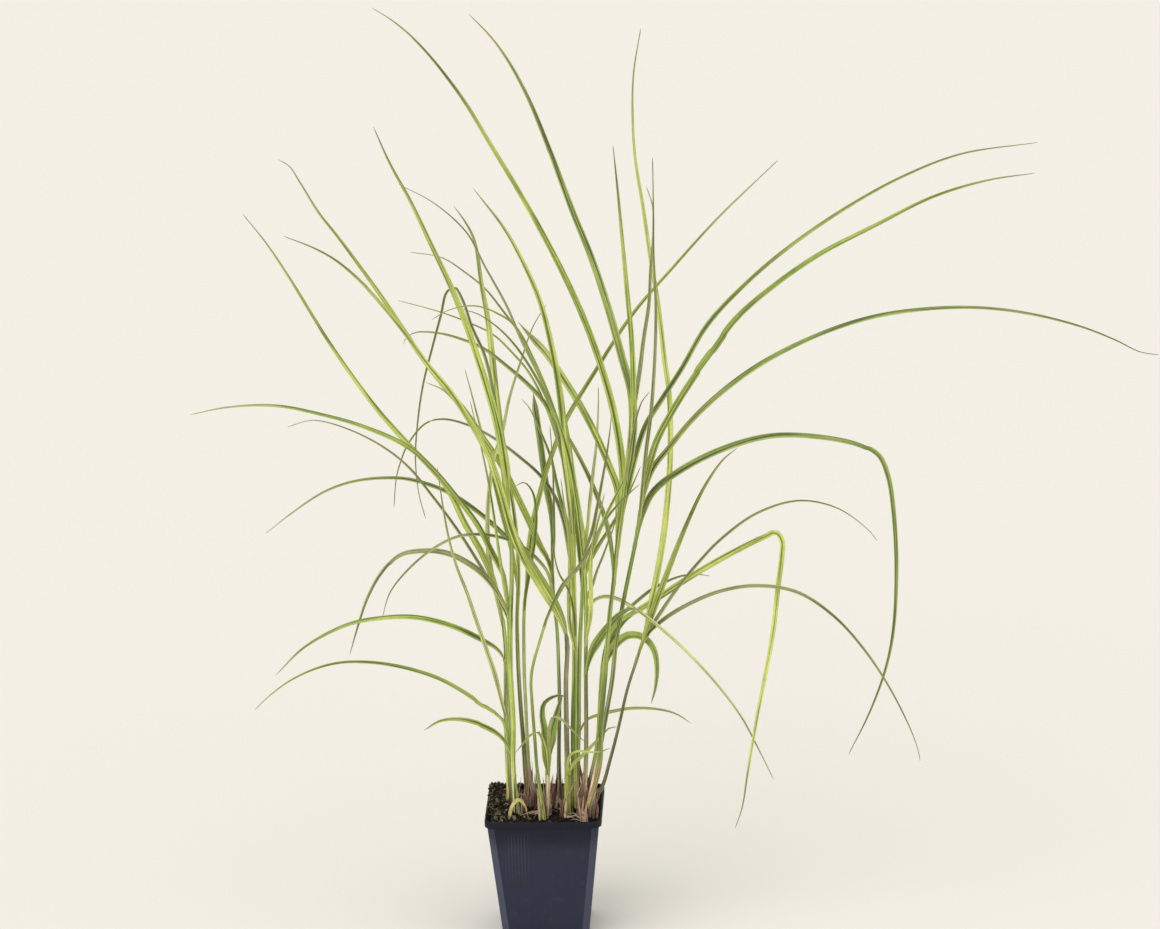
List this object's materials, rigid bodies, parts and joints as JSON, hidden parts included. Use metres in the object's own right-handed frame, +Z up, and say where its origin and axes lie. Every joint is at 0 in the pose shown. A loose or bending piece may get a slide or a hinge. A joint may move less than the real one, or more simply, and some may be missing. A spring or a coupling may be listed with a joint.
{
  "type": "potted ornamental grass",
  "caption": "Clump of tall arching grass with long narrow blades on upright stems, growing in a square tapered nursery pot filled with soil.",
  "frame": {"origin": "centre of the pot's underside", "axes": "+Z up, -Y towards the front of the plant, +X to its right"},
  "size_m": [0.735, 0.3571, 0.7361],
  "materials": {
    "pot": "matt moulded plastic",
    "soil": "crumbly potting soil of bark and peat",
    "fresh_grass": "satin green grass",
    "deep_grass": "satin green grass",
    "shaded_grass": "satin green grass"
  },
  "bodies": {
    "root": {"pot": "pot", "soil": "soil", "stem_left_outer": "fresh_grass", "stem_left_inner": "deep_grass", "stem_left_front": "shaded_grass", "stem_left_tall": "fresh_grass", "stem_slender": "deep_grass", "stem_left_back": "shaded_grass", "young_shoot": "fresh_grass", "stem_middle_back": "deep_grass", "stem_middle_front": "shaded_grass", "stem_middle": "fresh_grass", "stem_right_back": "deep_grass", "stem_right_front": "shaded_grass", "stem_right_main": "fresh_grass", "stem_right_tall": "deep_grass", "stem_leaning": "shaded_grass", "stem_right_low": "fresh_grass", "stem_right_edge": "deep_grass"}
  },
  "joints": []
}
